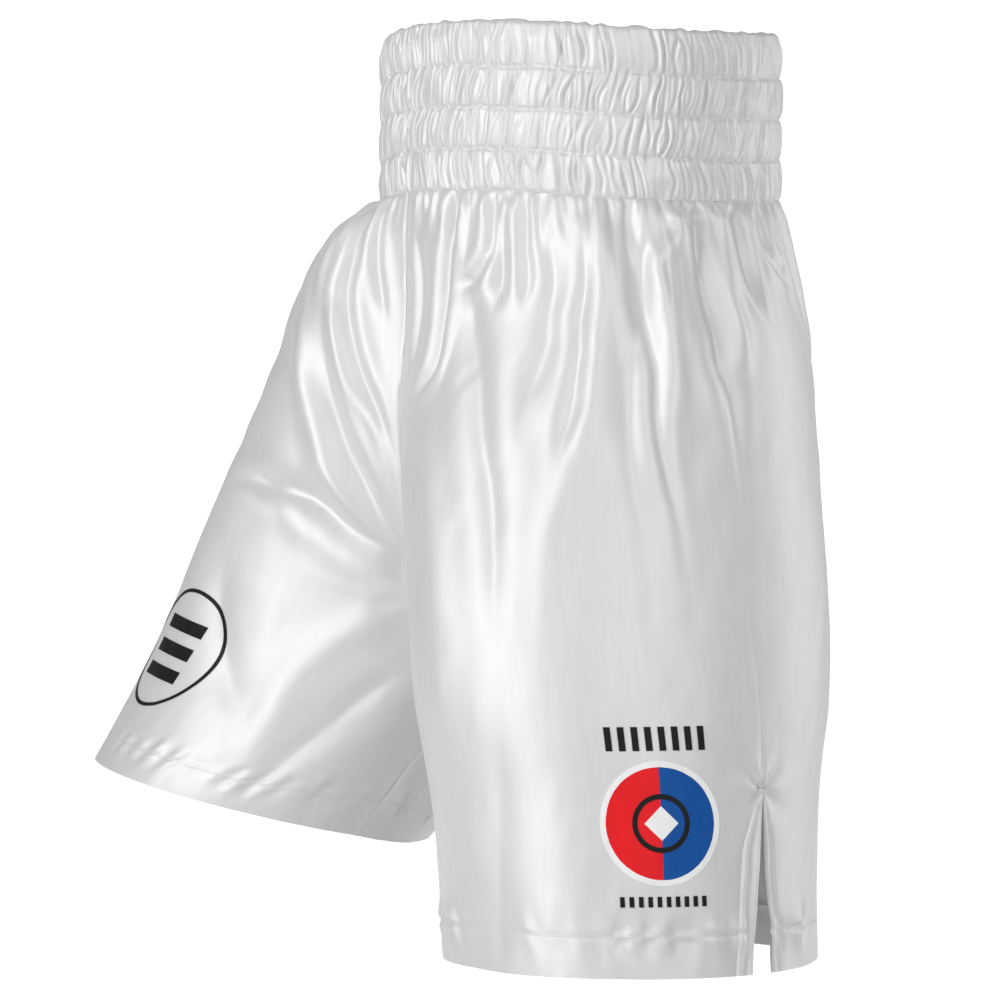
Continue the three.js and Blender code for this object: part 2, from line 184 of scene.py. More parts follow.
def ring(name, s, t):
    leg = legs[name]
    s, t = np.broadcast_arrays(np.asarray(s, float), np.asarray(t, float))
    wide = along(leg["wide"], t)
    middle = along(leg["x"], t)
    half = np.where(t >= crotch, math.pi, np.arccos(-np.clip(middle / wide, 0, 1)))
    crowd = 1 + legShape["crowd"] * ease(0.1, crotch, t)
    back = np.where(s < 0.5, -1, 1)
    u = np.abs(2 * s - 1)
    side = math.radians(legShape["sideTurn"]) * ease(0, 0.8, t)
    inside = back * math.pi - math.radians(legShape["insideTurn"]) * ease(crotch, 1, t)
    angle = side + (inside - side) * u - back * (math.pi - half) * u**crowd
    flex = np.radians(along(leg["flex"], t))
    out = np.radians(along(leg["out"], t))
    across = wide * np.cos(angle)
    forward = along(leg["deep"], t) * np.sin(angle)
    x = leg["sign"] * (middle + across * np.cos(out))
    y = along(leg["y"], t) + forward * np.cos(flex)
    z = -waistHeight - 2 * seamGap - along(leg["fall"], t) - forward * np.sin(flex) + across * np.sin(out)
    return np.stack([x, y, z], -1)


def rise(end, t):
    return ring("left", end, np.minimum(t, crotch)) * [0, 1, 1]


def inseam(name, end, t):
    u = ((t - crotch) / (1 - crotch))[..., None]
    top = rise(end, np.full(1, crotch))[0]
    hem = ring(name, end, 1.0)
    leaving = (hem - top) * [1, 1, 0.3]
    arriving = (hem - ring(name, end, 0.98)) / 0.02 * 1.3 * (1 - crotch)
    return bend(top, hem, leaving, arriving, u)


def pull(name, end, t):
    seam = np.where((t < crotch)[..., None], rise(end, t), inseam(name, end, np.maximum(t, crotch)))
    return seam - ring(name, end, t)


# The cloth without its folds, for s from 0 to 1.
def smoothCloth(name, s, t):
    s, t = np.broadcast_arrays(np.asarray(s, float), np.asarray(t, float))
    point = ring(name, s, t)
    swell = ease(0, crotch, t) * (1 - ease(crotch, 1, t))
    for end in (0, 1):
        away = np.abs(s - end)
        close = 1 - ease(0, legShape["seamReach"], away)
        wide = 1 - ease(0, legShape["crotchReach"], away)
        point = point + pull(name, end, t) * close[..., None]
        point = point + pull(name, end, np.full(t.shape, crotch)) * ((wide - close) * swell)[..., None]
    point[..., 0] += legs[name]["sign"] * seamGap
    return point


def normalsOf(points, sign):
    across = np.gradient(points, axis=1)
    down = np.gradient(points, axis=0)
    normal = np.cross(down, across) * sign
    length = np.linalg.norm(normal, axis=-1, keepdims=True)
    return normal / np.maximum(length, 1e-9)


# Each fold is its depth, half width, lip, ends and line of (s, t) points in thousandths. A negative depth
# is a ridge. The lip is how far the cloth swells beside it, and the ends are the shares that fade.

folds = {
    "left": [
        (4.6, 4.2, 0.45, (0.06, 0.3), [(119, 0), (113, 62), (107, 113), (109, 153), (122, 193),
            (133, 233), (112, 265), (90, 300)]),
        (3.2, 3.6, 0.4, (0.25, 0.3), [(31, 30), (46, 110), (50, 150), (55, 203), (74, 260)]),
        (3.6, 3.6, 0.5, (0.1, 0.25), [(193, 0), (190, 65), (180, 93), (154, 122), (118, 130)]),
        (3.4, 8.0, 0.3, (0.12, 0.4), [(148, 120), (180, 182), (239, 248), (278, 313), (301, 378),
            (309, 442), (310, 530), (309, 660)]),
        (2.9, 5.0, 0.35, (0.3, 0.4), [(214, 20), (205, 105), (208, 165)]),
        (2.7, 4.4, 0.35, (0.2, 0.4), [(244, 0), (242, 92), (247, 165)]),
        (3.2, 9.0, 0.25, (0.2, 0.35), [(278, 0), (283, 145), (305, 203), (314, 255), (329, 340)]),
        (2.8, 4.4, 0.4, (0.25, 0.4), [(329, 0), (328, 147), (351, 212), (367, 275), (367, 327),
            (360, 370)]),
        (3.2, 8.5, 0.35, (0.06, 0.5), [(392, 0), (394, 95), (406, 185), (421, 277), (425, 378),
            (428, 467), (424, 660)]),
        (4.2, 4.6, 0.4, (0.12, 0.6), [(428, 30), (408, 102), (409, 147), (426, 192), (440, 237),
            (446, 315), (450, 378), (455, 455), (455, 600)]),
        (5.2, 6.4, 0.35, (0.04, 0.6), [(512, 0), (500, 80), (495, 132), (500, 178), (501, 223),
            (510, 288), (510, 378), (511, 520)]),
        (3.0, 3.4, 0.5, (0.1, 0.35), [(578, 0), (581, 85), (589, 127), (605, 170)]),
        (3.4, 3.8, 0.5, (0.1, 0.35), [(652, 0), (647, 62), (672, 90), (710, 118)]),
        (-3.4, 6.0, 0.0, (0.1, 0.5), [(456, 10), (478, 42), (442, 75), (425, 97), (440, 147), (463, 250),
            (472, 360)]),
        (-3.6, 6.5, 0.0, (0.3, 0.5), [(540, 40), (533, 158), (527, 260)]),
        (-2.2, 3.6, 0.0, (0.2, 0.5), [(598, 0), (607, 90), (612, 150)]),
        (-3.0, 10.0, 0.0, (0.1, 0.6), [(357, 0), (357, 147), (388, 277), (372, 378), (353, 480),
            (344, 700)]),
        (-2.8, 13.0, 0.0, (0.3, 0.5), [(160, 260), (225, 400), (250, 557), (250, 800)]),
        (2.0, 12.0, 0.0, (0.5, 0.1), [(310, 620), (297, 782), (289, 1000)]),
        (1.6, 13.0, 0.0, (0.5, 0.1), [(400, 620), (385, 803), (370, 1000)]),
        (2.8, 6.0, 0.35, (0.08, 0.5), [(740, 0), (745, 120), (742, 260), (730, 420)]),
        (3.0, 5.0, 0.4, (0.08, 0.4), [(800, 0), (803, 100), (815, 200), (835, 300)]),
        (2.6, 4.6, 0.4, (0.08, 0.4), [(870, 0), (865, 120), (875, 240)]),
        (3.2, 8.0, 0.35, (0.2, 0.5), [(965, 560), (920, 600), (860, 660), (800, 740)]),
        (2.8, 8.5, 0.35, (0.2, 0.5), [(960, 500), (900, 500), (830, 530), (770, 600)]),
        (-2.4, 13.0, 0.0, (0.5, 0.1), [(760, 480), (750, 700), (745, 1000)]),
        (2.2, 11.0, 0.3, (0.4, 0.5), [(660, 300), (665, 500), (660, 750)]),
    ],
    "right": [
        (4.2, 4.0, 0.45, (0.05, 0.3), [(79, 0), (74, 50), (69, 100), (72, 153), (68, 208), (59, 260),
            (36, 305), (13, 350)]),
        (2.4, 2.8, 0.4, (0.1, 0.3), [(48, 0), (44, 57), (35, 127), (24, 180)]),
        (4.0, 8.5, 0.35, (0.25, 0.2), [(100, 140), (118, 238), (124, 340), (106, 420), (71, 488),
            (50, 510)]),
        (-3.2, 6.5, 0.0, (0.25, 0.3), [(74, 132), (85, 215), (94, 330), (76, 398), (40, 450)]),
        (-5.6, 8.5, 0.0, (0.3, 0.2), [(134, 120), (161, 260), (151, 363), (128, 460), (96, 510),
            (60, 530)]),
        (7.6, 8.0, 0.4, (0.5, 0.1), [(290, 500), (244, 477), (184, 470), (152, 478), (120, 502),
            (91, 517), (50, 540)]),
        (3.6, 11.0, 0.3, (0.4, 0.4), [(330, 420), (276, 430), (236, 455), (205, 490), (182, 540)]),
        (2.6, 10.0, 0.3, (0.4, 0.6), [(300, 255), (235, 267), (190, 290)]),
        (3.2, 13.0, 0.25, (0.35, 0.35), [(240, 580), (225, 660), (205, 720), (168, 807), (145, 860)]),
        (3.2, 9.0, 0.35, (0.35, 0.3), [(110, 975), (95, 900), (88, 800), (72, 690)]),
        (-3.4, 11.0, 0.0, (0.3, 0.3), [(128, 900), (132, 720), (88, 572)]),
        (3.0, 6.0, 0.4, (0.1, 0.6), [(190, 0), (200, 120), (210, 240)]),
        (2.6, 4.0, 0.4, (0.1, 0.5), [(130, 0), (128, 70), (120, 150)]),
        (3.0, 6.0, 0.35, (0.08, 0.5), [(420, 0), (425, 100), (430, 220), (420, 360)]),
        (3.2, 6.5, 0.35, (0.08, 0.5), [(530, 0), (535, 120), (540, 250), (535, 400)]),
        (2.8, 4.6, 0.4, (0.08, 0.4), [(620, 0), (630, 100), (645, 200)]),
        (3.2, 6.5, 0.35, (0.08, 0.5), [(720, 0), (715, 140), (700, 300), (670, 460)]),
        (2.6, 4.6, 0.4, (0.08, 0.4), [(840, 0), (840, 100), (850, 220)]),
        (3.8, 9.0, 0.35, (0.2, 0.5), [(965, 550), (900, 500), (820, 470), (740, 480)]),
        (3.0, 9.0, 0.35, (0.2, 0.5), [(960, 600), (900, 620), (830, 680), (780, 770)]),
        (2.4, 11.0, 0.3, (0.4, 0.4), [(370, 300), (400, 420), (430, 560), (440, 700)]),
        (-2.4, 13.0, 0.0, (0.5, 0.3), [(620, 500), (600, 680), (590, 900)]),
    ],
}

foldShape = {"samples": 70, "reach": 3.4, "window": 0.12, "lipAt": 2.3, "lipWidth": 1.5}
gathers = {
    "long": {"spacing": 10.5, "depth": (0.7, 2.1), "length": (18.0, 95.0), "width": (2.0, 3.2)},
    "short": {"spacing": 5.2, "depth": (0.5, 1.3), "length": (7.0, 26.0), "width": (1.1, 1.7)},
}
gatherShape = {"stray": 0.42, "widening": 0.05, "lean": 0.09, "sway": 2.0, "swayLength": 17.0, "lip": 0.35}
seeds = {"left": 11, "right": 23}
billows = {"height": 2.6, "round": 62.0, "down": 230.0}
creases = {"height": 0.32, "size": 9.0}
seams = {
    "groove": 0.7,
    "half": 1.0,
    "pucker": 0.6,
    "puckerLength": 8.0,
    "puckerReach": 8.0,
    "held": 4.0,  # how near a seam the folds die out
    "side": 0.25,  # how much of all this the side seam shows
}
hemPuckers = {
    "height": 2.6,
    "length": 7.0,
    "reach": 12.0,
    "patch": 48.0,
    "fullness": 0.75,
    "groove": 0.35,
    "edgeWave": 1.8,
    "edgeLength": 62.0,
}
tackPuckers = {"height": 3.0, "count": 5, "reach": 11.0, "clear": 4.0}
ventCurl = {"front": 2.2, "back": -2.4, "reach": 9.0}
waistBulge = {"height": 1.8, "rise": 2.5, "fall": 26.0}


# Smooth noise from -1 to 1 with one bump to each unit.
def noise(x, y, seed):
    table = np.random.default_rng(seed).uniform(-1, 1, (64, 64))
    x0, y0 = np.floor(x).astype(int), np.floor(y).astype(int)
    u, v = x - x0, y - y0
    u, v = u * u * (3 - 2 * u), v * v * (3 - 2 * v)

    def at(i, j):
        return table[(x0 + i) % 64, (y0 + j) % 64]

    return (at(0, 0) * (1 - u) + at(1, 0) * u) * (1 - v) + (at(0, 1) * (1 - u) + at(1, 1) * u) * v


# A smooth line through the points, as count points.
def smoothLine(points, count):
    p = np.asarray(points)
    p = np.vstack([2 * p[0] - p[1], p, 2 * p[-1] - p[-2]])
    at = np.linspace(0, len(points) - 1 - 1e-9, count)
    i, u = at.astype(int), (at % 1)[:, None]
    a, b, c, d = p[i], p[i + 1], p[i + 2], p[i + 3]
    return 0.5 * (2 * b + (c - a) * u + (2 * a - 5 * b + 4 * c - d) * u**2 + (3 * b - a - 3 * c + d) * u**3)


# Presses one fold into height, measuring on the smooth cloth.
def addFold(name, height, points, s, t, fold):
    depth, halfWidth, lip, ends, line = fold
    reach = halfWidth * foldShape["reach"]
    line = smoothLine(np.array(line) / 1000, foldShape["samples"])
    spine = smoothCloth(name, np.clip(line[:, 0], 0, 1), np.clip(line[:, 1], 0, 1))
    low, high = spine.min(0) - reach, spine.max(0) + reach
    near = ((points > low) & (points < high)).all(-1)
    window = foldShape["window"]
    near &= (s > line[:, 0].min() - window) & (s < line[:, 0].max() + window)
    where = np.argwhere(near)
    there = points[near]
    best = np.full(len(there), 1e9)
    place = np.zeros(len(there))
    for k in range(len(spine) - 1):
        edge = spine[k + 1] - spine[k]
        u = np.clip(((there - spine[k]) @ edge) / (edge @ edge), 0, 1)
        away = np.linalg.norm(there - spine[k] - u[:, None] * edge, axis=1)
        closer = away < best
        best[closer] = away[closer]
        place[closer] = (k + u[closer]) / (len(spine) - 1)
    start, end = ends
    fade = ease(0, start, place) * (1 - ease(1 - end, 1, place))
    x = best / (halfWidth * (0.55 + 0.45 * fade))
    shape = np.exp(-(x**1.5)) if depth > 0 else np.exp(-(x**2) * 0.8)
    shape = shape - lip * bell((x - foldShape["lipAt"]) / foldShape["lipWidth"])
    height[where[:, 0], where[:, 1]] -= depth * fade * shape


# Pleats below the waistband, each widening and fading as it runs down.
def addGathers(name, kind, height, arc, t):
    pleats = gathers[kind]
    pick = np.random.default_rng(seeds[name] + len(kind))
    count = int(arc[0, -1] / pleats["spacing"])
    down = t[:, :1] * outseam
    for k in range(count):
        start = (k + 0.5 + pick.uniform(-gatherShape["stray"], gatherShape["stray"])) / count
        depth = pick.uniform(*pleats["depth"])
        length = pick.uniform(*pleats["length"]) * (1.5 if pick.random() < 0.2 else 1)
        width = pick.uniform(*pleats["width"]) + gatherShape["widening"] * down
        lean = pick.uniform(-gatherShape["lean"], gatherShape["lean"])
        sway = gatherShape["sway"] * np.sin(down / gatherShape["swayLength"] + k)
        middle = arc[:, -1:] * start + lean * down + sway
        rows = down[:, 0] < length * 1.02
        x = np.abs(arc[rows] - middle[rows]) / width[rows]
        fade = ease(0, 3, down[rows]) * (1 - ease(0.35 * length, length, down[rows]))
        height[rows] -= depth * fade * (np.exp(-(x**1.4)) - gatherShape["lip"] * bell(x - 1.9))


# How far the folded cloth stands off the smooth cloth.
def foldHeights(name, points, s, t):
    step = np.linalg.norm(np.diff(points, axis=1), axis=-1)
    arc = np.concatenate([np.zeros((len(points), 1)), np.cumsum(step, axis=1)], axis=1)
    down = t * outseam
    even = s * (430 + 290 * t)
    height = np.zeros(s.shape)
    for fold in folds[name]:
        addFold(name, height, points, s, t, fold)
    addGathers(name, "long", height, even, t)
    addGathers(name, "short", height, even, t)
    seed = seeds[name]
    broad = noise(even / billows["round"] + 7, down / billows["down"] + 3, seed + 1)
    height += billows["height"] * broad * ease(0.1, 0.5, t)
    height += creases["height"] * noise(even / creases["size"], down / (creases["size"] * 2.5), seed + 2)

    fromEnd = np.minimum(arc, arc[:, -1:] - arc)
    swell = (1 - np.exp(-down / waistBulge["rise"])) * np.exp(-down / waistBulge["fall"])
    height += waistBulge["height"] * swell
    height *= 1 - bell(fromEnd / seams["held"])
    fromSide = np.abs(arc - arc[np.arange(len(arc)), np.argmin(np.abs(s - 0.5), axis=1)][:, None])
    aboveVent = 1 - ease(ventTop - 0.02, ventTop, t)
    for _ in range(2):
        height[:, 1:-1] = 0.25 * height[:, :-2] + 0.5 * height[:, 1:-1] + 0.25 * height[:, 2:]
    for away, live in ((fromEnd, 1.0), (fromSide, aboveVent * seams["side"])):
        height -= seams["groove"] * bell(away / seams["half"]) * live
        ripple = noise(down / seams["puckerLength"], away / 30.0, seed + 3)
        near = np.exp(-away / seams["puckerReach"]) * ease(0, 2.5, away)
        height += seams["pucker"] * ripple * near * live

    aboveHem = (hemTop - t) * outseam
    ripple = noise((even + 0.35 * aboveHem) / hemPuckers["length"], aboveHem / 26.0, seed + 4)
    band = bell(aboveHem / hemPuckers["reach"])
    patches = hemPuckers["fullness"] + noise(even / hemPuckers["patch"], 0, seed + 6)
    patches = np.clip(patches, 0.15, 1.1)
    height += hemPuckers["height"] * patches * ripple * band * (1 - 0.7 * bell(aboveHem / 2.0))
    height -= hemPuckers["groove"] * bell(aboveHem / 1.2)
    wave = noise(even / hemPuckers["edgeLength"], 0, seed + 5)
    height += hemPuckers["edgeWave"] * wave * ease(0.86, 1, t)
    for half, live in (("front", s < 0.5), ("back", s >= 0.5)):
        curl = bell(fromSide / ventCurl["reach"]) * ease(ventTop, ventTop + 0.1, t)
        height += ventCurl[half] * curl * live
    tackAway = np.hypot(fromSide, (t - ventTop) * outseam)
    spokes = np.cos(tackPuckers["count"] * np.arctan2((t - ventTop) * outseam, fromSide + 0.01))
    fade = np.exp(-tackAway / tackPuckers["reach"]) * ease(0, tackPuckers["clear"], tackAway)
    height += tackPuckers["height"] * spokes * fade
    return height


# How finely each leg's folded cloth is worked out, and how far it is smoothed at the level of the crotch.
grain = {"above": 250, "below": 170, "across": 641, "blur": 0.09, "blurReach": 0.13, "blurSteps": 13}
lattices = {}


# The grid's rows read a little further down the cloth.
def shiftedRows(grid, levels, shift):
    at = np.clip(levels + shift, 0, 1)
    j = np.clip(np.searchsorted(levels, at, side="right") - 1, 0, len(levels) - 2)
    v = ((at - levels[j]) / (levels[j + 1] - levels[j]))[:, None, None]
    return grid[j] * (1 - v) + grid[j + 1] * v


def makeLattice(name):
    w = np.linspace(0, 1, grain["above"], endpoint=False)
    levels = np.concatenate([crotch * (1 - (1 - w) ** 1.35), np.linspace(crotch, 1, grain["below"])])
    s, t = np.meshgrid(np.linspace(0, 1, grain["across"]), levels)
    sign = legs[name]["sign"]
    flatCloth = smoothCloth(name, s, t)
    smooth = flatCloth.copy()
    saddle = saddleAt(np.minimum((smooth[0, :, 1] / waist["deep"]) ** 2, 1))
    smooth[..., 2] += saddle * (1 - ease(0, waist["saddleReach"], t))
    soft = ease(0.03, 0.16, np.minimum(s, 1 - s)) * bell((t - crotch) / grain["blurReach"])
    weights = bell(np.linspace(-1.8, 1.8, grain["blurSteps"]))
    spread = np.zeros_like(smooth)
    shifts = np.linspace(-grain["blur"], grain["blur"], grain["blurSteps"])
    for weight, shift in zip(weights / weights.sum(), shifts):
        spread += weight * shiftedRows(smooth, levels, shift)
    smooth = smooth + (spread - smooth) * soft[..., None]
    normal = normalsOf(smooth, sign)
    height = foldHeights(name, flatCloth, s, t)
    points = smooth + normal * height[..., None]
    lattices[name] = {"levels": levels, "points": points, "normals": normalsOf(points, sign)}


# Points of the folded cloth, lifted off it. s may run past 0 or 1, across the inside leg seam.
def drape(name, s, t, lift=0.0):
    lattice = lattices[name]
    levels, points, normals = lattice["levels"], lattice["points"], lattice["normals"]
    s, t, lift = np.broadcast_arrays(np.asarray(s, float), np.asarray(t, float), np.asarray(lift, float))
    s = np.where((s < 0) | (s > 1), s % 1.0, s)
    t = np.clip(t, 0, 1)
    column = np.clip(s * (points.shape[1] - 1), 0, points.shape[1] - 1 - 1e-6)
    i = column.astype(int)
    j = np.clip(np.searchsorted(levels, t, side="right") - 1, 0, len(levels) - 2)
    u = (column - i)[..., None]
    v = ((t - levels[j]) / (levels[j + 1] - levels[j]))[..., None]

    def mix(a):
        above = a[j, i] * (1 - u) + a[j, i + 1] * u
        below = a[j + 1, i] * (1 - u) + a[j + 1, i + 1] * u
        return above * (1 - v) + below * v

    return mix(points) + unit(mix(normals)) * lift[..., None]


for legName in legs:
    makeLattice(legName)
print("folds")


def newTree(name, finish):
    material = bpy.data.materials.new(name)
    material.use_nodes = True
    shader = material.node_tree.nodes["Principled BSDF"]
    for key, value in finish.items():
        shader.inputs[key].default_value = value
    return material, material.node_tree, shader


def addNode(tree, kind, **values):
    node = tree.nodes.new(kind)
    for key, value in values.items():
        if key in node.inputs:
            node.inputs[key].default_value = value
        else:
            setattr(node, key, value)
    return node


# A satin weave: long floats down the cloth, with a little slub, as a normal. Its UVs are millimetres.
def makeWeaveGroup():
    group = bpy.data.node_groups.new("satinWeave", "ShaderNodeTree")
    group.interface.new_socket("Strength", in_out="INPUT", socket_type="NodeSocketFloat")
    group.interface.new_socket("Normal", in_out="OUTPUT", socket_type="NodeSocketVector")
    group.interface.new_socket("Slub", in_out="OUTPUT", socket_type="NodeSocketFloat")
    inside = addNode(group, "NodeGroupInput")
    outside = addNode(group, "NodeGroupOutput")
    place = addNode(group, "ShaderNodeUVMap", uv_map="cloth")
    floats = addNode(group, "ShaderNodeMapping", Scale=(3.2, 0.5, 1.0))
    group.links.new(place.outputs["UV"], floats.inputs["Vector"])
    thread = addNode(group, "ShaderNodeTexNoise", Scale=1.0, Detail=3.0, Roughness=0.6)
    group.links.new(floats.outputs["Vector"], thread.inputs["Vector"])
    wide = addNode(group, "ShaderNodeMapping", Scale=(0.22, 0.03, 1.0))
    group.links.new(place.outputs["UV"], wide.inputs["Vector"])
    slub = addNode(group, "ShaderNodeTexNoise", Scale=1.0, Detail=2.0, Roughness=0.5)
    group.links.new(wide.outputs["Vector"], slub.inputs["Vector"])
    both = addNode(group, "ShaderNodeMath", operation="MULTIPLY_ADD")
    both.inputs[1].default_value = 0.35
    group.links.new(slub.outputs["Fac"], both.inputs[0])
    group.links.new(thread.outputs["Fac"], both.inputs[2])
    bump = addNode(group, "ShaderNodeBump", Distance=0.00012)
    group.links.new(both.outputs["Value"], bump.inputs["Height"])
    group.links.new(inside.outputs["Strength"], bump.inputs["Strength"])
    group.links.new(bump.outputs["Normal"], outside.inputs["Normal"])
    group.links.new(slub.outputs["Fac"], outside.inputs["Slub"])
    return group


weaveGroup = makeWeaveGroup()


# Colours the shader from a darker shade to the full colour, as the factor rises.
def addTone(tree, shader, factor, colour, shade, high=0.7):
    tone = addNode(tree, "ShaderNodeValToRGB")
    dark, full = tone.color_ramp.elements
    dark.position, dark.color = 0.3, (*(c * shade for c in colour), 1)
    full.position, full.color = high, (*colour, 1)
    tree.links.new(factor, tone.inputs["Fac"])
    tree.links.new(tone.outputs["Color"], shader.inputs["Base Color"])


def addWeave(tree, shader, strength, colour, shade):
    weave = addNode(tree, "ShaderNodeGroup", node_tree=weaveGroup)
    weave.inputs["Strength"].default_value = strength
    tree.links.new(weave.outputs["Normal"], shader.inputs["Normal"])
    addTone(tree, shader, weave.outputs["Slub"], colour, shade)


satin = {
    "tone": (0.86, 0.862, 0.87),
    "shade": 0.965,
    "weave": 0.35,
    "finish": {"Roughness": 0.46, "Anisotropic": 0.35, "Metallic": 0.27, "Specular IOR Level": 0.62},
}
ink = {"weave": 0.6, "shade": 0.9, "finish": {"Roughness": 0.5, "Specular IOR Level": 0.25}}
yarn = {"shade": 0.82, "sheen": 0.3}


def makeSatin():
    material, tree, shader = newTree("satin", satin["finish"])
    addWeave(tree, shader, satin["weave"], satin["tone"], satin["shade"])
    tangent = addNode(tree, "ShaderNodeTangent", direction_type="UV_MAP", uv_map="cloth")
    tree.links.new(tangent.outputs["Tangent"], shader.inputs["Tangent"])
    return material


# The glow is emission: painted light that brightens each ink in its own colour, though the ink is no lamp.
def makePrint(name, colour, glow=0.0):
    glowing = {"Emission Color": (*colour, 1), "Emission Strength": glow}
    material, tree, shader = newTree(name, ink["finish"] | glowing)
    addWeave(tree, shader, ink["weave"], colour, ink["shade"])
    return material


# Sewing thread or braided elastic: fine strands in the object's own space.
def makeYarn(name, colour, roughness, scale, stretch):
    material, tree, shader = newTree(name, {"Roughness": roughness, "Sheen Weight": yarn["sheen"]})
    place = addNode(tree, "ShaderNodeTexCoord")
    size = addNode(tree, "ShaderNodeMapping", Scale=stretch)
    tree.links.new(place.outputs["Object"], size.inputs["Vector"])
    strand = addNode(tree, "ShaderNodeTexNoise", Scale=scale, Detail=4.0, Roughness=0.65)
    tree.links.new(size.outputs["Vector"], strand.inputs["Vector"])
    bump = addNode(tree, "ShaderNodeBump", Strength=0.5, Distance=0.0002)
    tree.links.new(strand.outputs["Fac"], bump.inputs["Height"])
    tree.links.new(bump.outputs["Normal"], shader.inputs["Normal"])
    addTone(tree, shader, strand.outputs["Fac"], colour, yarn["shade"], 0.65)
    return material


materials = {
    "satin": makeSatin(),
    "thread": makeYarn("thread", (0.9, 0.9, 0.9), 0.6, 900.0, (1, 1, 1)),
    "webbing": makeYarn("webbing", (0.84, 0.83, 0.8), 0.8, 500.0, (1, 1, 3)),
    # The white, red and blue inks are given a glow: painted light on the prints.
    "print_white": makePrint("print_white", (0.95, 0.95, 0.95), 0.14),
    "print_red": makePrint("print_red", (0.9, 0.01, 0.016), 0.1),
    "print_blue": makePrint("print_blue", (0.0, 0.09, 0.38), 0.1),
    "print_black": makePrint("print_black", (0.008, 0.008, 0.009)),
}
print("materials")


def placePiece(name, mesh, slot, thick=0.0):
    mesh.polygons.foreach_set("use_smooth", [True] * len(mesh.polygons))
    piece = addObject(name + "_fine", mesh)
    mesh.materials.append(materials[slot])
    if thick:
        wall = piece.modifiers.new("wall", "SOLIDIFY")
        wall.thickness = thick * mm
        wall.offset = -1
    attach(piece, "root")
    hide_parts(name)
    return piece


def meshOf(bm, name):
    mesh = bpy.data.meshes.new(name)
    bm.to_mesh(mesh)
    bm.free()
    return mesh


def sharpenEdges(bm):
    for edge in bm.edges:
        edge.smooth = not edge.is_boundary


# A grid of points as one piece, with its first side towards facing.
def makeSheet(name, points, uv, slot, thick=0.0, facing=None, keep=None):
    rows, columns = points.shape[:2]
    bm = bmesh.new()
    bmesh.ops.create_grid(bm, x_segments=columns - 1, y_segments=rows - 1, size=1.0)
    sharpenEdges(bm)
    mesh = meshOf(bm, name)
    mesh.vertices.foreach_set("co", (points * mm).ravel())
    corners = np.empty(len(mesh.loops), int)
    mesh.loops.foreach_get("vertex_index", corners)
    layer = mesh.uv_layers.new(name="cloth")
    layer.data.foreach_set("uv", uv.reshape(-1, 2)[corners].ravel())
    j, i = rows // 2, columns // 2
    normal = np.cross(points[j, i] - points[j, i - 1], points[j, i] - points[j - 1, i])
    if facing is not None and normal @ facing[j, i] < 0:
        mesh.flip_normals()
    if keep is not None:
        bm = bmesh.new()
        bm.from_mesh(mesh)
        gaps = [face for face in bm.faces if not keep[face.index % (columns - 1)]]
        bmesh.ops.delete(bm, geom=gaps, context="FACES")
        sharpenEdges(bm)
        bm.to_mesh(mesh)
        bm.free()
    mesh.update()
    return placePiece(name, mesh, slot, thick)


# A piece of a leg's cloth, or on it, at the (s, t) grid.
def draped(piece, legName, s, t, slot, lift=0.0, thick=0.0, keep=None):
    s, t = np.broadcast_arrays(s, t)
    points = drape(legName, s, t, lift)
    facing = drape(legName, s, t, lift + 1.0) - points
    uv = np.stack([s * 740.0, t * outseam], -1)
    return makeSheet(piece, points, uv, slot, thick, facing, keep)


def closeUp(bm):
    bmesh.ops.remove_doubles(bm, verts=bm.verts, dist=1e-7)
    bmesh.ops.holes_fill(bm, edges=[edge for edge in bm.edges if edge.is_boundary], sides=0)
    bmesh.ops.recalc_face_normals(bm, faces=bm.faces)


# A closed tube of changing radius along a path.
def makeTube(name, path, radius, slot, sides=6):
    run = unit(np.gradient(path, axis=0))
    up = np.where(np.abs(run[:, 2:]) < 0.9, [[0.0, 0.0, 1.0]], [[1.0, 0.0, 0.0]])
    across = unit(np.cross(run, up))
    over = np.cross(across, run)
    angle = np.linspace(0, 2 * math.pi, sides + 1)
    rings = (
        path[:, None]
        + across[:, None] * (np.cos(angle) * radius[:, None])[..., None]
        + over[:, None] * (np.sin(angle) * radius[:, None])[..., None]
    )
    bm = bmesh.new()
    bmesh.ops.create_grid(bm, x_segments=sides, y_segments=len(path) - 1, size=1.0)
    for vert, place in zip(bm.verts, (rings * mm).reshape(-1, 3)):
        vert.co = place
    closeUp(bm)
    return placePiece(name, meshOf(bm, name), slot)


# A line of running stitches: a path that dips under between stitches, and its radius.
def stitchPath(points, length, radius, sink):
    arc = lengthAlong(points)
    number = max(2, int(arc[-1] / length))
    at = np.linspace(0, arc[-1], number * 6 + 1)
    path = np.stack([np.interp(at, arc, points[:, k]) for k in range(3)], -1)
    swell = np.abs(np.sin(math.pi * at / arc[-1] * number)) ** 0.6
    return path, radius * (0.18 + 0.82 * swell), sink * (1 - swell)


panel = {"thick": 0.45, "columns": {"front": 262, "back": 210}}
vent = {"open": 9.5, "facing": 11.0, "facingThick": 0.35, "edge": 0.25}
turnUp = {"inside": 0.75, "thick": 0.4, "clear": 0.6}
hemStitch = {"length": 3.1, "radius": 0.26, "sink": 0.45, "lift": 0.2, "fromFold": 0.6}
facingRidges = ((1.5, 0.17, 0.13), (1.2, 0.82, 0.12))  # height, place across the strip and half width
tackBar = {"turns": 15, "half": 3.4, "tall": 1.4, "radius": 0.34, "above": 1.2, "lift": 0.5}
allowance = {"half": 5.0, "thick": 0.7, "inside": 1.0, "edgeWave": 0.3, "edgeLength": 3.2}
riseAllowance = {"clear": 1.9, "wide": 6.6, "thick": 0.8, "sway": 0.9, "swayLength": 14.0}


# How much of s a length round the cloth is.
def roundShare(name, s, t, length):
    ahead = smoothCloth(name, s + 0.01, t)
    behind = smoothCloth(name, s - 0.01, t)
    return length * 0.02 / np.linalg.norm(ahead - behind, axis=-1)


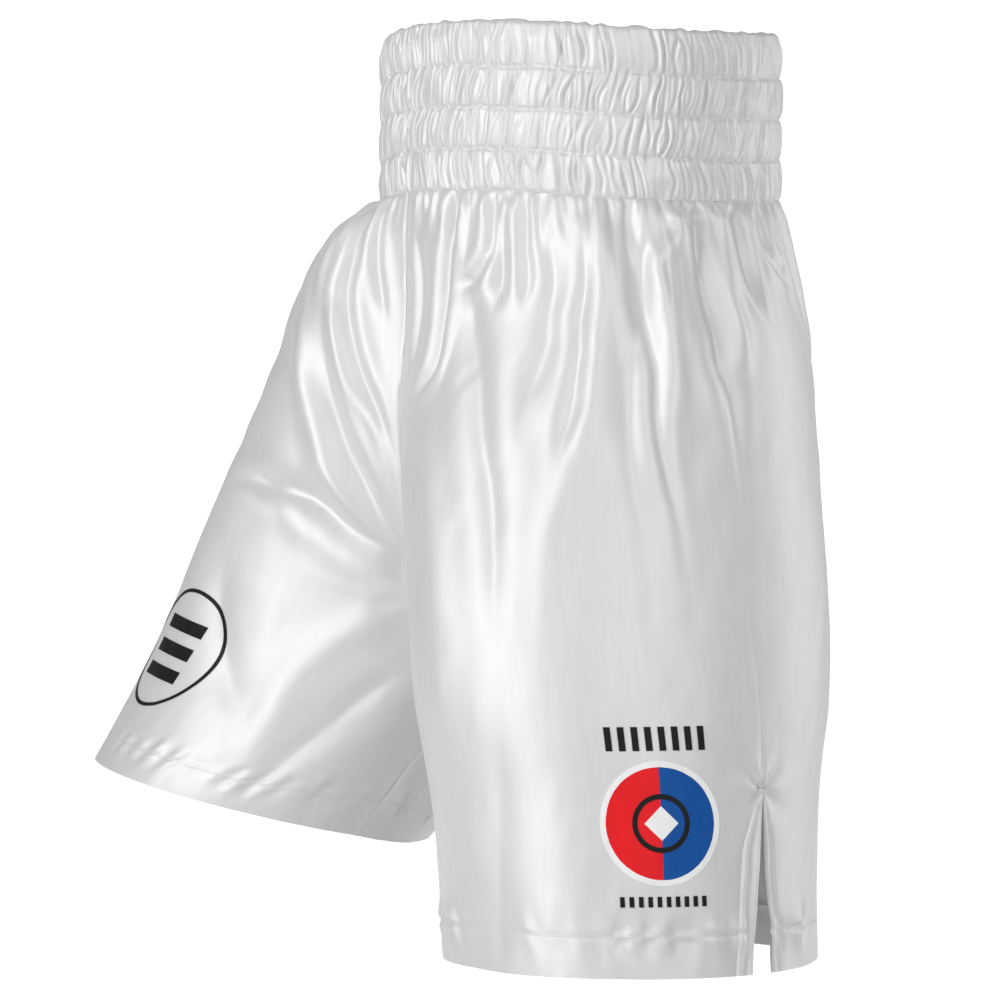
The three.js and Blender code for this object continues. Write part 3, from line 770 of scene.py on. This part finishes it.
def ventShare(name, t):
    return roundShare(name, 0.5, t, vent["open"] * np.clip((t - ventTop) / (1 - ventTop), 0, 1) ** 0.9)


def panelLevels():
    spans = ((0, 0.05, 12), (0.05, crotch, 70), (crotch, hemTop - 0.03, 66))
    levels = [np.linspace(*span, endpoint=False) for span in spans]
    return np.concatenate([*levels, np.linspace(hemTop - 0.03, 1, 34)])


def makePanels(name):
    t = panelLevels()[:, None]
    reach = 0.5 - ventShare(name, t)
    made = []
    for side in ("front", "back"):
        u = np.linspace(0, 1, panel["columns"][side])[None, :]
        s = u * reach if side == "front" else 1 - (1 - u) * reach
        made.append(draped(f"{side}_panel_{name}", name, s, t, "satin", 0.0, panel["thick"]))
    return made


# A strip round a leg opening, from one edge of the vent to the other by way of the inside leg.
def openingStrip(piece, name, low, high, rows, lift, thick, slot, margin=0.4):
    t = np.linspace(low, high, rows)[:, None]
    reach = 0.5 - ventShare(name, t) - roundShare(name, 0.5, t, margin)
    s = reach * np.linspace(-1, 1, 360)[None, :]
    return draped(piece, name, s, t, slot, lift, thick)


def makeHem(name):
    end = 1 - turnUp["clear"] / outseam
    hem = openingStrip(f"hem_{name}", name, hemTop, end, 9, -turnUp["inside"], turnUp["thick"], "satin")
    t = hemTop + hemStitch["fromFold"] / outseam
    reach = 0.5 - ventShare(name, np.array(t)) - roundShare(name, 0.5, np.array(t), vent["facing"] + 1)
    s = reach * np.linspace(-1, 1, 1500)
    line = drape(name, s, t, 0.0)
    path, radius, sink = stitchPath(line, hemStitch["length"], hemStitch["radius"], hemStitch["sink"])
    share = np.linspace(s[0], s[-1], len(path))
    out = drape(name, share, t, 1.0) - drape(name, share, t, 0.0)
    path = path + out * (hemStitch["lift"] - sink)[:, None]
    return [hem, makeTube(f"hem_stitch_{name}", path, radius, "thread")]


def makeVent(name):
    made = []
    for side, way in (("front", -1), ("back", 1)):
        v = np.linspace(0, 1, 70)[:, None]
        t = ventTop + (1 - ventTop) * v
        edge = 0.5 + way * (ventShare(name, t) - roundShare(name, 0.5, t, vent["edge"]))
        width = roundShare(name, 0.5, t, vent["facing"] * (0.35 + 0.65 * ease(0, 0.35, v)))
        u = np.linspace(0, 1, 16)[None, :]
        s = edge + way * width * u
        wave = 0.25 * noise(v * 9, 3 * u, 50 + way)
        ridges = sum(high * bell((u - place) / half) for high, place, half in facingRidges)
        roll = 0.35 + (ridges + 2 * wave * np.sin(math.pi * u)) * ease(0, 0.25, v)
        made.append(draped(f"vent_facing_{name}_{side}", name, s, t, "satin", roll, vent["facingThick"]))
    t = ventTop - tackBar["above"] / outseam
    bars = np.linspace(-1, 1, tackBar["turns"] * 6 + 1)
    zig = (np.arange(len(bars)) // 3) % 2
    s = 0.5 + roundShare(name, 0.5, np.array(t), tackBar["half"]) * bars
    path = drape(name, s, t + (zig - 0.5) * tackBar["tall"] / outseam, tackBar["lift"])
    tack = makeTube(f"vent_tack_{name}", path, np.full(len(path), tackBar["radius"]), "thread")
    return made + [tack]


# The overlocked allowances inside the side seam and the inside leg seam.
def makeSeams(name):
    made = []
    spans = {
        "side_seam": (0.5, 0.003, ventTop - 0.02),
        "inside_leg_seam": (0.0, crotch + 0.05, hemTop - 0.004),
    }
    for kind, (middle, low, high) in spans.items():
        t = np.linspace(low, high, 220)[:, None]
        u = np.linspace(-1, 1, 13)[None, :]
        s = middle + roundShare(name, max(middle, 0.02), t, allowance["half"]) * u
        stitched = np.sin(t * outseam * 2 * math.pi / allowance["edgeLength"])
        lift = -allowance["inside"] - 0.25 * np.abs(u) + allowance["edgeWave"] * stitched * np.abs(u) ** 4
        made.append(draped(f"{kind}_{name}", name, s, t, "thread", lift, allowance["thick"]))
    return made


# The allowance inside the seam between the legs, on edge from the front waist to the back.
def makeRiseSeam():
    share = np.linspace(0, 1, 200)
    levels = (crotch - 0.03) * np.sin(share * math.pi / 2)
    front = rise(0, 0.006 + levels)
    back = rise(1, 0.006 + levels)[::-1]
    path = np.concatenate([front, back])
    raised = saddleAt(1) * (1 - ease(0, waist["saddleReach"], 0.006 + levels))
    path[:, 2] += np.concatenate([raised, raised[::-1]])
    run = np.gradient(path, axis=0)
    inward = unit(np.stack([run[:, 0] * 0, -run[:, 2], run[:, 1]], -1))
    u = np.linspace(0, 1, 8)
    arc = lengthAlong(path)
    out = riseAllowance["clear"] + riseAllowance["wide"] * u
    points = path[:, None] + inward[:, None] * out[None, :, None]
    wander = noise(arc[:, None] / riseAllowance["swayLength"], u[None, :], 5)
    sway = riseAllowance["sway"] * wander * u[None, :] ** 2
    points[..., 0] += sway + 0.25 * np.sin(arc * 2 * math.pi / 3.0)[:, None] * u[None, :] ** 6
    uv = np.stack(np.broadcast_arrays(u[None, :] * 7, arc[:, None]), -1)
    piece = makeSheet("rise_seam", points, uv, "thread", riseAllowance["thick"])
    piece.modifiers["wall"].offset = 0


makeRiseSeam()
for legName in legs:
    front, back = makePanels(legName)
    trim = makeHem(legName) + makeVent(legName) + makeSeams(legName)
print("legs")


band = {
    "puff": 2.3,
    "spacing": 5.0,
    "leans": (2.5, -5.0, -5.0, 4.0),
    "crease": (0.6, 3.1),
    "creaseWidth": (0.5, 1.2),
    "bunching": 1.0,
    "bunchReach": 60.0,
    "stray": 0.42,
    "leanStray": 3.0,
    "curve": 1.3,
    "lip": 0.34,
    "unevenness": 0.34,
    "pleatSpacing": 2.6,
    "pleat": 0.75,
    "pleatReach": 3.6,
    "stitchWander": 0.75,
    "wanderLength": 4.6,
    "lap": 0.9,
    "lapOut": 0.7,
    "seamLine": 6.3,
    "seamFlat": 1.1,
    "seamDent": 0.9,
    "rowSamples": 21,
    "columns": 780,
    "lining": 5.4,
    "tubeTop": 2.6,
    "scallop": 1.7,
    "turnOver": 0.35,  # share of the top row that rolls over the edge
    "liningRows": 22,
}
waistStitch = {"length": 2.6, "radius": 0.24, "sink": 0.3, "lift": 0.12}
elastic = {"clear": 2.0, "inside": 3.0, "thick": 0.9, "rib": 0.16, "ribs": 7}


def waistAt(angle, off=0.0):
    x, y = waist["wide"] * np.cos(angle), waist["deep"] * np.sin(angle)
    nx, ny = np.cos(angle) / waist["wide"], np.sin(angle) / waist["deep"]
    length = np.hypot(nx, ny)
    return x + nx / length * off, y + ny / length * off


def waistArc(angle):
    fine = np.linspace(-math.pi, 2 * math.pi, 6001)
    x, y = waistAt(fine)
    arc = np.concatenate([[0], np.cumsum(np.hypot(np.diff(x), np.diff(y)))])
    return np.interp(angle, fine, arc)


waistRound = waistArc(math.pi) - waistArc(-math.pi)


# Where a row's creases are, how they lean and wander, how deep they are at the row's two edges.
def rowCreases(row):
    pick = np.random.default_rng(40 + row)
    count = int(waistRound / band["spacing"])
    stray = pick.uniform(-band["stray"], band["stray"], count)
    start = (np.arange(count) + 0.5 + stray) * waistRound / count
    lean = band["leans"][row] + pick.uniform(-band["leanStray"], band["leanStray"], count)
    curve = pick.uniform(-band["curve"], band["curve"], count)
    width = pick.uniform(*band["creaseWidth"], count)
    depth = pick.uniform(*band["crease"], count)
    upper = np.clip(pick.uniform(-0.1, 1.5, count), 0.12, 1)
    lower = np.clip(pick.uniform(-0.1, 1.5, count), 0.12, 1)
    return start, lean, curve, width, depth, upper, lower


# How far a row of the cover stands out, for v from its upper stitch line, 0, to its lower, 1.
def rowShape(row, arc, v):
    start, lean, curve, width, depth, upper, lower = rowCreases(row)
    swell = math.sin(math.pi * v) ** 0.42 if 0 < v < 1 else 0.0
    middle = start + lean * (v - 0.5) + curve * math.sin(math.pi * (2 * v + 0.3))
    away = np.abs((arc[:, None] - middle + waistRound / 2) % waistRound - waistRound / 2)
    deep = depth * (upper * (1 - v) + lower * v)
    toSeam = np.abs((arc - waistArc(-math.pi / 2) + waistRound / 4) % (waistRound / 2) - waistRound / 4)
    bunched = 1 + band["bunching"] * bell(toSeam / band["bunchReach"])
    cut = (deep * np.exp(-((away / width) ** 1.15))).sum(1) * bunched
    lip = (band["lip"] * deep * bell((away - 2.4 * width) / (1.3 * width))).sum(1)
    tight = np.exp(-min(v, 1 - v) * waist["rows"][row] / band["pleatReach"])
    pleat = noise(arc / band["pleatSpacing"], row * 9 + round(v) * 4, 60 + row)
    full = 1 + band["unevenness"] * noise(arc / 9.0, 2.0 * v, 70 + row)
    return band["puff"] * swell * full + (lip - cut) * (0.3 + 0.7 * swell) + band["pleat"] * tight * pleat


# The cover's section at each place round the waist, as (off, z) rows from the outside bottom round.
def coverProfile(arc):
    sections = []
    edges = -np.concatenate([[0], np.cumsum(waist["rows"])])
    for row in reversed(range(rowCount)):
        for v in np.linspace(1, 0, band["rowSamples"])[(0 if row == rowCount - 1 else 1) :]:
            off = rowShape(row, arc, v)
            z = edges[row] * (1 - v) + edges[row + 1] * v + 0 * arc
            for edge, share in ((row, 1 - v), (row + 1, v)):
                if 0 < edge < rowCount:
                    wander = noise(arc / band["wanderLength"], edge * 5, 90)
                    z = z + band["stitchWander"] * share**4 * wander
            if row == rowCount - 1:
                z = z - band["lap"] * v**6
                off = off + band["lapOut"] * v**6
            if row == 0 and v < band["turnOver"]:
                turn = 1 - v / band["turnOver"]
                off = off * (1 - turn) + (0.55 * off - 0.4) * turn
                z = z - 0.35 * turn * (band["puff"] - off)
            sections.append((off, z))
    top = sections[-1]
    scallop = band["scallop"] * noise(arc / 5.0, 0, 81)
    inner = -band["lining"] + 0.35 * noise(arc / 8.0, 3, 82)
    for share in (0.25, 0.5, 0.75):
        hump = math.sin(math.pi * share)
        off = top[0] * (1 - share) + (inner + 0.5) * share
        z = top[1] * (1 - share) - 1.5 * share + band["tubeTop"] * 0.5 * hump + scallop * hump * 0.6
        sections.append((off, z))
    for z in np.linspace(-2.2, -waistHeight, band["liningRows"]):
        wrinkle = 0.45 * noise(arc / 6.5, z / 40.0, 83) + 0.2 * noise(arc / 2.6, z / 25.0, 84)
        stitched = min(abs(z - e) for e in edges[1:])
        sections.append((inner + wrinkle - 0.5 + 0.5 * math.exp(-((stitched / 2.0) ** 2)), z + 0 * arc))
    sections.append((sections[-1][0] * 0.45, -waistHeight + 0.25 + 0 * arc))
    sections.append((sections[0][0], sections[0][1]))
    return sections


def makeCover(side, low, high):
    angle = np.linspace(low, high, 4001)
    arc = waistArc(angle)
    even = np.linspace(arc[0] + seamGap, arc[-1] - seamGap, band["columns"])
    angle = np.interp(even, arc, angle)
    arc = even
    sections = coverProfile(arc)
    offs = np.array([s[0] for s in sections])
    levels = np.array([s[1] for s in sections])
    fromEnd = np.minimum(arc - arc[0], arc[-1] - arc) + seamGap
    outside = offs > -2.0
    flat = bell(fromEnd / 2.2)
    line = bell((fromEnd - band["seamLine"]) / 0.8)
    offs = offs - outside * (band["seamFlat"] * flat + band["seamDent"] * line)[None, :]
    x, y = waistAt(angle[None, :], offs)
    raised = levels + saddleAt(np.sin(angle) ** 2)
    points = np.stack([x, y, raised], -1)
    run = np.cumsum(np.abs(np.gradient(levels.mean(1))))
    uv = np.stack(np.broadcast_arrays(arc[None, :] * 1.5, run[:, None]), -1)
    cover = makeSheet(f"waistband_cover_{side}", points, uv, "satin")
    bm = bmesh.new()
    bm.from_mesh(cover.data)
    closeUp(bm)
    bm.to_mesh(cover.data)
    bm.free()
    return cover


# The row of stitches at the foot of a row of the band.
def makeWaistStitch(index):
    level = -sum(waist["rows"][:index]) + (0.8 if index == rowCount else 0.0)
    row = min(index, rowCount - 1)
    angle = np.linspace(-math.pi, math.pi, 3001)
    arc = waistArc(angle)
    off = rowShape(row, arc, 0.0 if index < rowCount else 1.0)
    x, y = waistAt(angle, off + waistStitch["lift"])
    if index < rowCount:
        level = level + band["stitchWander"] * noise(arc / band["wanderLength"], index * 5, 90)
    level = level + saddleAt(np.sin(angle) ** 2)
    line = np.stack([x, y, level], -1)
    path, radius, sink = stitchPath(line, waistStitch["length"], waistStitch["radius"], waistStitch["sink"])
    turn = np.arctan2(path[:, 1] / waist["deep"], path[:, 0] / waist["wide"])
    out = unit(np.stack([np.cos(turn) / waist["wide"], np.sin(turn) / waist["deep"], 0 * turn], -1))
    makeTube(f"waist_stitch_{index}", path - out * sink[:, None], radius, "thread", 5)


# A braided elastic in its own channel, ribbed along its length.
def makeElastic(index):
    angle = np.linspace(-math.pi, math.pi, 421)[None, :]
    low = -sum(waist["rows"][:index]) + elastic["clear"]
    high = -sum(waist["rows"][: index - 1]) - elastic["clear"]
    level = np.linspace(high, low, 15)[:, None]
    ribs = elastic["rib"] * np.cos(np.linspace(0, elastic["ribs"] * 2 * math.pi, 15))[:, None]
    x, y = waistAt(angle, ribs - elastic["inside"])
    raised = level + saddleAt(np.sin(angle) ** 2)
    points = np.stack([x, y, raised], -1)
    facing = np.stack([*waistAt(angle, ribs - elastic["inside"] + 1), raised], -1) - points
    uv = np.stack(np.broadcast_arrays(waistArc(angle), level), -1)
    makeSheet(f"elastic_band_{index}", points, uv, "webbing", elastic["thick"], facing)


covers = {
    "left": makeCover("left", -math.pi / 2, math.pi / 2),
    "right": makeCover("right", math.pi / 2, 3 * math.pi / 2),
}
for index in range(1, rowCount + 1):
    makeWaistStitch(index)
    makeElastic(index)
print("waistband")


marks = {"lift": 0.22, "thick": 0.16, "tier": 0.2}
badge = {
    "drop": 372.0,
    "fromSeam": 68.6,
    "radius": 36.0,
    "rim": 3.5,
    "ring": 17.0,
    "ringLine": 3.0,
    "lozenge": 10.0,
}
# Each row of bars: above or below the badge, its distance, half width and height, and how many bars.
badgeBars = {"badge_bar_upper": (1, 6.0, 29.0, 14.0, 8), "badge_bar_lower": (-1, 6.0, 26.0, 6.0, 10)}
ringMark = {
    "drop": 358.0,
    "turn": 0.243,
    "radius": 42.0,
    "line": 2.5,
    "barHalf": 21.0,
    "barHigh": 9.0,
    "barStep": 17.0,
}


def markFrame(name, drop, turn):
    t = drop / outseam
    across = roundShare(name, turn, np.array(t), 1.0)
    above, below = smoothCloth(name, turn, t - 0.01), smoothCloth(name, turn, t + 0.01)
    up = 0.02 / np.linalg.norm(below - above)
    return lambda x, y: (turn + x * across, t - y * up)


def makeMark(piece, name, place, x, y, slot, tier=0, keep=None):
    s, t = place(x, y)
    lift = marks["lift"] + marks["thick"] + tier * marks["tier"]
    return draped(piece, name, s, t, slot, lift, marks["thick"], keep)


def ringGrid(outer, line, low=0.0, high=2 * math.pi, columns=160, rows=4):
    angle = np.linspace(low, high, columns)[None, :]
    radius = np.linspace(outer, outer - line, rows)[:, None]
    return radius * np.sin(angle), radius * np.cos(angle)


def barGrid(middle, half, high, columns=60, rows=16):
    x = np.linspace(-half, half, columns)[None, :]
    y = middle + np.linspace(high / 2, -high / 2, rows)[:, None]
    return np.broadcast_arrays(x, y)


def makeBadge():
    fromSeam = roundShare("left", 0.46, np.array(badge["drop"] / outseam), badge["fromSeam"])
    place = markFrame("left", badge["drop"], 0.5 - float(fromSeam))
    field = badge["radius"] - badge["rim"]
    made = [makeMark("badge_rim", "left", place, *ringGrid(badge["radius"], badge["rim"]), "print_white")]
    for colour, low, high in (("red", math.pi, 2 * math.pi), ("blue", 0.0, math.pi)):
        grid = ringGrid(field + 0.1, field, low, high, 90, 26)
        made.append(makeMark(f"badge_field_{colour}", "left", place, *grid, f"print_{colour}"))
    grid = ringGrid(badge["ring"], badge["ringLine"])
    made.append(makeMark("badge_ring", "left", place, *grid, "print_black", 1))
    u = np.linspace(-1, 1, 21)
    x, y = np.meshgrid(u, u)
    grid = ((x + y) * badge["lozenge"] / 2, (y - x) * badge["lozenge"] / 2)
    made.append(makeMark("badge_lozenge", "left", place, *grid, "print_white", 1))
    for piece, (side, clear, half, high, blocks) in badgeBars.items():
        middle = side * (badge["radius"] + clear + high / 2)
        columns = (blocks * 2 - 1) * 5
        keep = [column // 5 % 2 == 0 for column in range(columns)]
        grid = barGrid(middle, half, high, columns + 1)
        made.append(makeMark(piece, "left", place, *grid, "print_black", 0, keep))
    return made


def makeRingMark():
    place = markFrame("right", ringMark["drop"], ringMark["turn"])
    grid = ringGrid(ringMark["radius"], ringMark["line"], columns=200)
    made = [makeMark("ring_mark", "right", place, *grid, "print_black")]
    for k in range(3):
        middle = (1 - k) * ringMark["barStep"]
        grid = barGrid(middle, ringMark["barHalf"], ringMark["barHigh"])
        made.append(makeMark(f"ring_mark_bar_{k + 1}", "right", place, *grid, "print_black"))
    return made


leftMarks = makeBadge()
rightMarks = makeRingMark()
print("marks")


stage = {
    "floor": -0.66,
    "near": -4.0,
    "far": 5.2,
    "half": 5.0,
    "bend": 1.2,
    "high": 4.0,
    "glow": (0.15, 0.6, 0.0, 0.8),  # from where to where the wall begins to shine, and how much
    "middle": (1.1, 1.8, 1.0, 0.0),  # from where to where it stops to each side
}


# A smooth step of one number, between the four limits.
def addStep(tree, source, limits):
    step = addNode(tree, "ShaderNodeMapRange", interpolation_type="SMOOTHSTEP")
    for key, value in zip(("From Min", "From Max", "To Min", "To Max"), limits):
        step.inputs[key].default_value = value
    tree.links.new(source, step.inputs["Value"])
    return step.outputs["Result"]


# White paper that shines behind the shorts.
def makePaper(turn):
    finish = {"Base Color": (0.9, 0.9, 0.9, 1), "Roughness": 0.9, "Emission Color": (1, 1, 1, 1)}
    material, tree, shader = newTree("paper", finish)
    behind = addNode(tree, "ShaderNodeTexCoord")
    turned = addNode(tree, "ShaderNodeMapping", vector_type="POINT", Rotation=(0, 0, -turn))
    tree.links.new(behind.outputs["Object"], turned.inputs["Vector"])
    split = addNode(tree, "ShaderNodeSeparateXYZ")
    tree.links.new(turned.outputs["Vector"], split.inputs["Vector"])
    across = addNode(tree, "ShaderNodeMath", operation="ABSOLUTE")
    tree.links.new(split.outputs["X"], across.inputs[0])
    both = addNode(tree, "ShaderNodeMath", operation="MULTIPLY")
    tree.links.new(addStep(tree, split.outputs["Y"], stage["glow"]), both.inputs[0])
    tree.links.new(addStep(tree, across.outputs["Value"], stage["middle"]), both.inputs[1])
    tree.links.new(both.outputs["Value"], shader.inputs["Emission Strength"])
    return material


# A floor that bends up into a wall behind the shorts.
def makeStage():
    turn = math.radians(cameraSettings["azimuth"])
    ahead = np.array([-math.sin(turn), math.cos(turn)])
    side = np.array([math.cos(turn), math.sin(turn)])
    radius, foot = stage["bend"], stage["far"] - stage["bend"]
    profile = [(stage["near"], 0.0), (foot, 0.0)]
    for k in range(1, 13):
        a = k / 12 * math.pi / 2
        profile.append((foot + radius * math.sin(a), radius * (1 - math.cos(a))))
    profile.append((stage["far"], stage["high"]))
    points = np.empty((len(profile), 2, 3))
    for j, (away, up) in enumerate(profile):
        for i, across in enumerate((-stage["half"], stage["half"])):
            points[j, i, :2] = ahead * away + side * across
            points[j, i, 2] = stage["floor"] + up
    bm = bmesh.new()
    bmesh.ops.create_grid(bm, x_segments=1, y_segments=len(profile) - 1, size=1.0)
    mesh = meshOf(bm, "floor")
    mesh.vertices.foreach_set("co", points.ravel())
    mesh.polygons.foreach_set("use_smooth", [True] * len(mesh.polygons))
    mesh.update()
    mesh.materials.append(makePaper(turn))
    addObject("floor", mesh)


lightAim = (0.0, -0.05, -0.3)
worldStrength = 0.25
# Each light's place is its turn and lift in degrees, and its distance.
lights = {
    "key": {"place": (14, 16, 2.6), "size": (1.1, 2.4), "power": 32},
    "fill": {"place": (90, 24, 2.8), "size": (1.8, 2.0), "power": 17},
    "side": {"place": (172, 10, 2.6), "size": (0.9, 2.0), "power": 14},
}


def makeLight(name, place, size, power):
    data = bpy.data.lights.new(name, "AREA")
    data.shape = "RECTANGLE"
    data.size, data.size_y = size
    data.energy = power
    light = addObject(name, data)
    aim = np.array(lightAim)
    turn, lift, away = math.radians(place[0]), math.radians(place[1]), place[2]
    spot = aim + away * np.array(
        [math.sin(turn) * math.cos(lift), -math.cos(turn) * math.cos(lift), math.sin(lift)]
    )
    light.location = spot
    light.rotation_euler = Vector(aim - spot).to_track_quat("-Z", "Y").to_euler()


makeStage()
for name, settings in lights.items():
    makeLight(name, **settings)
world = bpy.data.worlds.new("studio")
scene.world = world
world.use_nodes = True
sky = world.node_tree.nodes["Background"].inputs
sky["Color"].default_value = (1, 1, 1, 1)
sky["Strength"].default_value = worldStrength
scene.view_settings.view_transform = "Standard"
print("stage")
